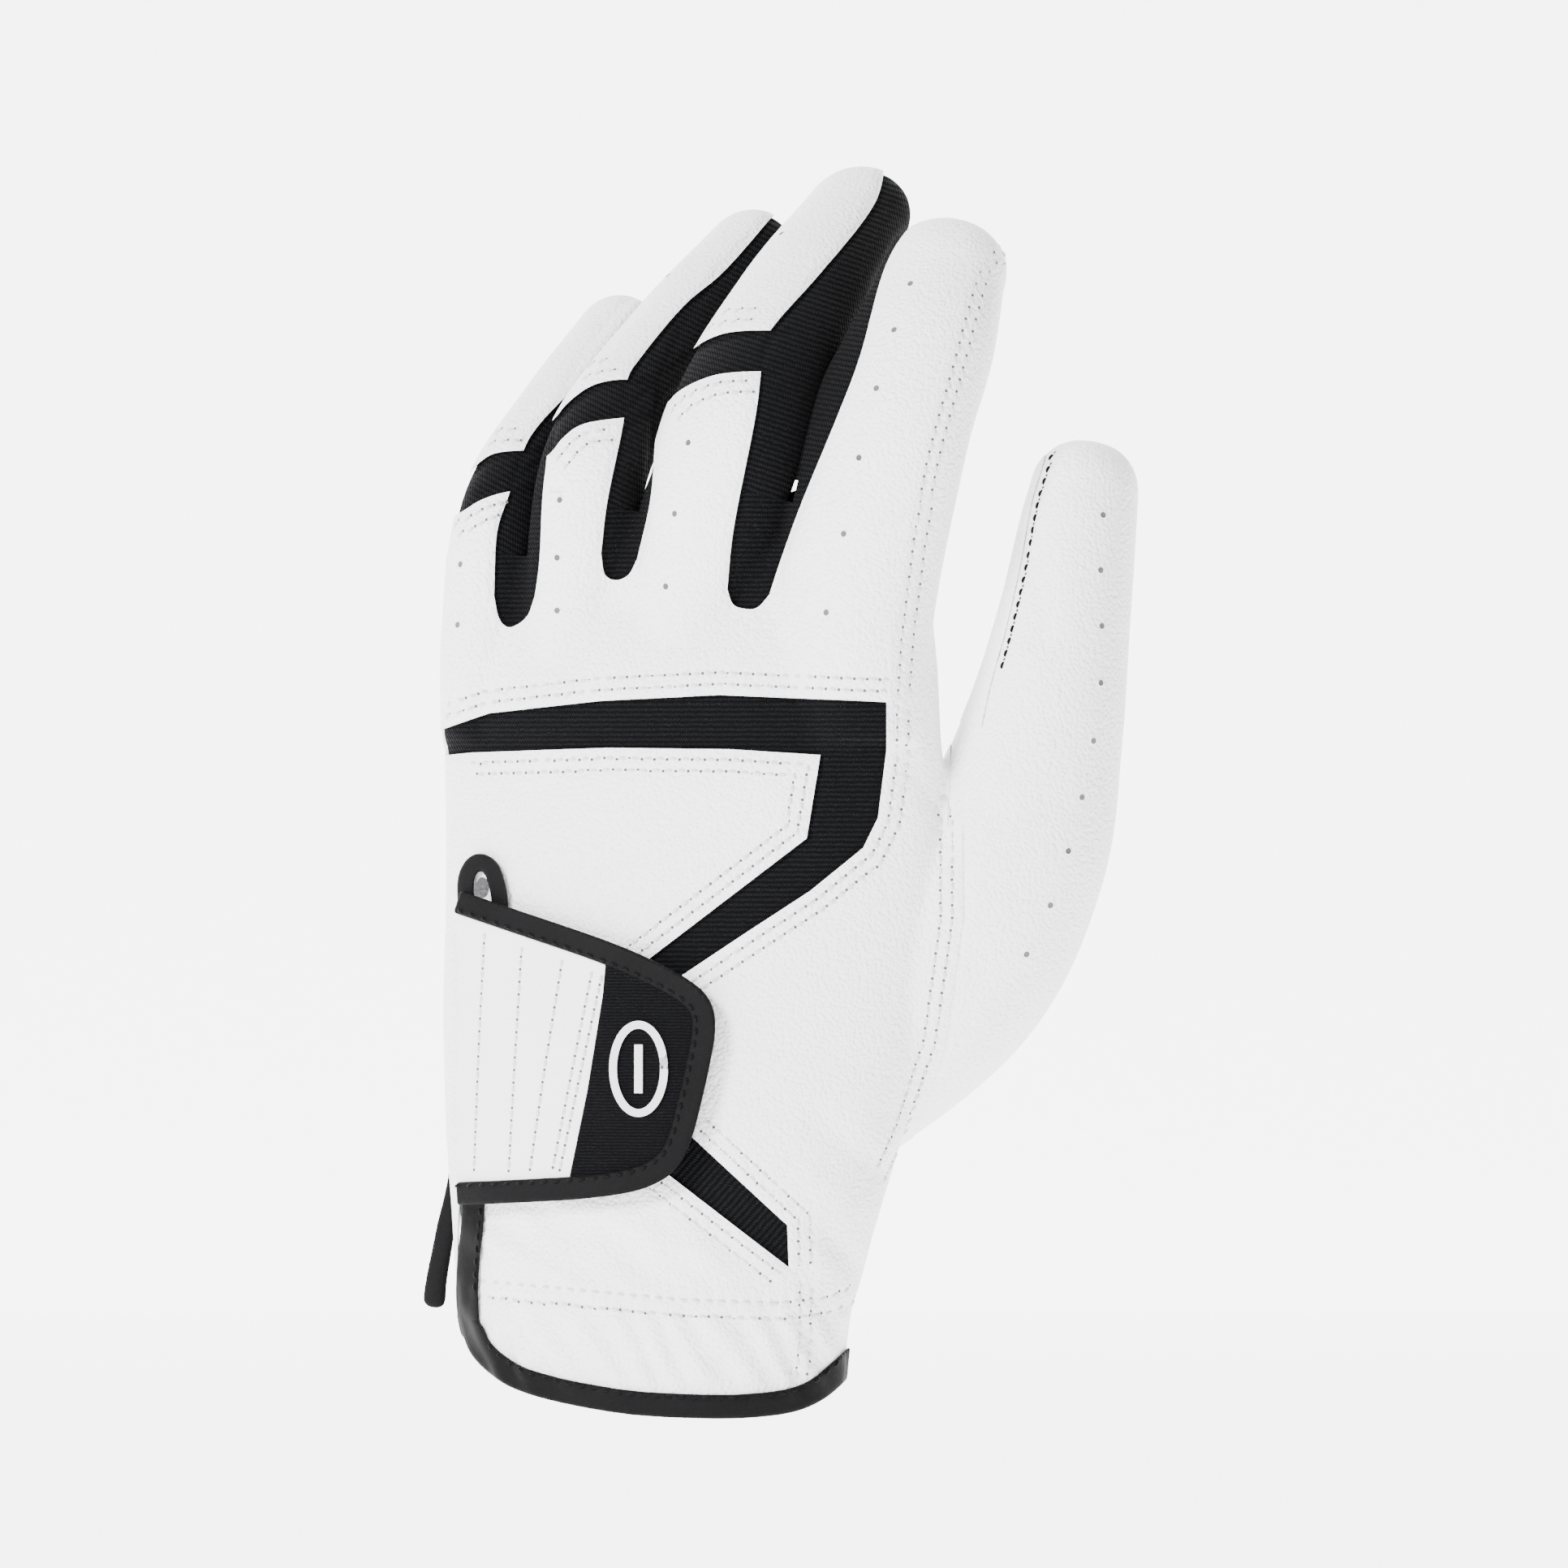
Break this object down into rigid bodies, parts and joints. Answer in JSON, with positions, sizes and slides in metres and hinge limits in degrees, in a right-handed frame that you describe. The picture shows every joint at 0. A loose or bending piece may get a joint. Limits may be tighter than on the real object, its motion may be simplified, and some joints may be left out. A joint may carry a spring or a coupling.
{
  "type": "golf glove",
  "caption": "Left-hand golf glove in white leather with black knit flex bands, finger gussets and a peel-open wrist tab.",
  "frame": {"origin": "middle of the wrist opening, at the height of the lowest point of the cuff", "axes": "+Z from the cuff to the fingertips, -Y out of the back of the hand, +X to the thumb side"},
  "size_m": [0.1357, 0.0816, 0.2374],
  "materials": {
    "white_leather": "fine grain, satin",
    "black_knit": "fine rib knit",
    "black_binding": "smooth matt tape",
    "woven_patch": "woven",
    "fastener": "hook and loop",
    "lining": "plain elastic and tape"
  },
  "bodies": {
    "hand": {"palm_panel": "white_leather", "upper_back_panel": "white_leather", "centre_back_panel": "white_leather", "wrist_back_panel": "white_leather", "ulnar_wrist_panel": "white_leather", "thumb_panel": "white_leather", "thumb_crotch_gusset": "white_leather", "flex_band": "black_knit", "lower_flex_strip": "black_knit", "pinky_ring_gusset": "black_knit", "ring_middle_gusset": "black_knit", "middle_index_gusset": "black_knit", "pinky_knuckle_band": "black_knit", "ring_knuckle_band": "black_knit", "middle_knuckle_band": "black_knit", "cuff_binding": "black_binding", "slit_binding": "black_binding", "ulnar_flap_binding": "black_binding", "loop_patch": "fastener", "wrist_elastic": "lining", "inner_label": "lining"},
    "tab": {"closure_tab": "white_leather", "tab_binding": "black_binding", "tab_label_patch": "woven_patch", "hook_patch": "fastener"},
    "pinky_end": {"pinky_tip_back": "white_leather", "pinky_tip_front": "white_leather", "pinky_radial_gusset": "black_knit"},
    "ring_end": {"ring_tip_back": "white_leather", "ring_tip_front": "white_leather", "ring_ulnar_gusset": "black_knit", "ring_radial_gusset": "black_knit"},
    "middle_end": {"middle_tip_back": "white_leather", "middle_tip_front": "white_leather", "middle_ulnar_gusset": "black_knit", "middle_radial_gusset": "black_knit"},
    "index_end": {"index_tip_back": "white_leather", "index_tip_front": "white_leather", "index_ulnar_gusset": "black_knit"},
    "thumb_end": {"thumb_tip_back": "white_leather", "thumb_tip_front": "white_leather"}
  },
  "joints": [
    {"name": "tab_peel", "type": "hinge", "parent": "hand", "child": "tab", "pos_m": [-0.037, 0.0014, 0.07], "axis": [0, -0.0581, -0.9983], "range_deg": [0, 120]},
    {"name": "pinky_flex", "type": "hinge", "parent": "hand", "child": "pinky_end", "pos_m": [-0.02315, 0.02518, 0.16771], "axis": [-0.8068, 0.5908, 0.0073], "range_deg": [0, 55]},
    {"name": "ring_flex", "type": "hinge", "parent": "hand", "child": "ring_end", "pos_m": [-0.00568, 0.01532, 0.17917], "axis": [-0.7991, 0.6004, 0.03], "range_deg": [0, 55]},
    {"name": "middle_flex", "type": "hinge", "parent": "hand", "child": "middle_end", "pos_m": [0.02214, 0.00582, 0.18418], "axis": [-0.7918, 0.6082, 0.0556], "range_deg": [0, 55]},
    {"name": "index_flex", "type": "hinge", "parent": "hand", "child": "index_end", "pos_m": [0.05529, -0.00297, 0.18276], "axis": [-0.7946, 0.6022, 0.0774], "range_deg": [0, 55]},
    {"name": "thumb_flex", "type": "hinge", "parent": "hand", "child": "thumb_end", "pos_m": [0.07936, 0.00345, 0.1384], "axis": [-0.9549, 0.2259, 0.1929], "range_deg": [0, 40]}
  ]
}
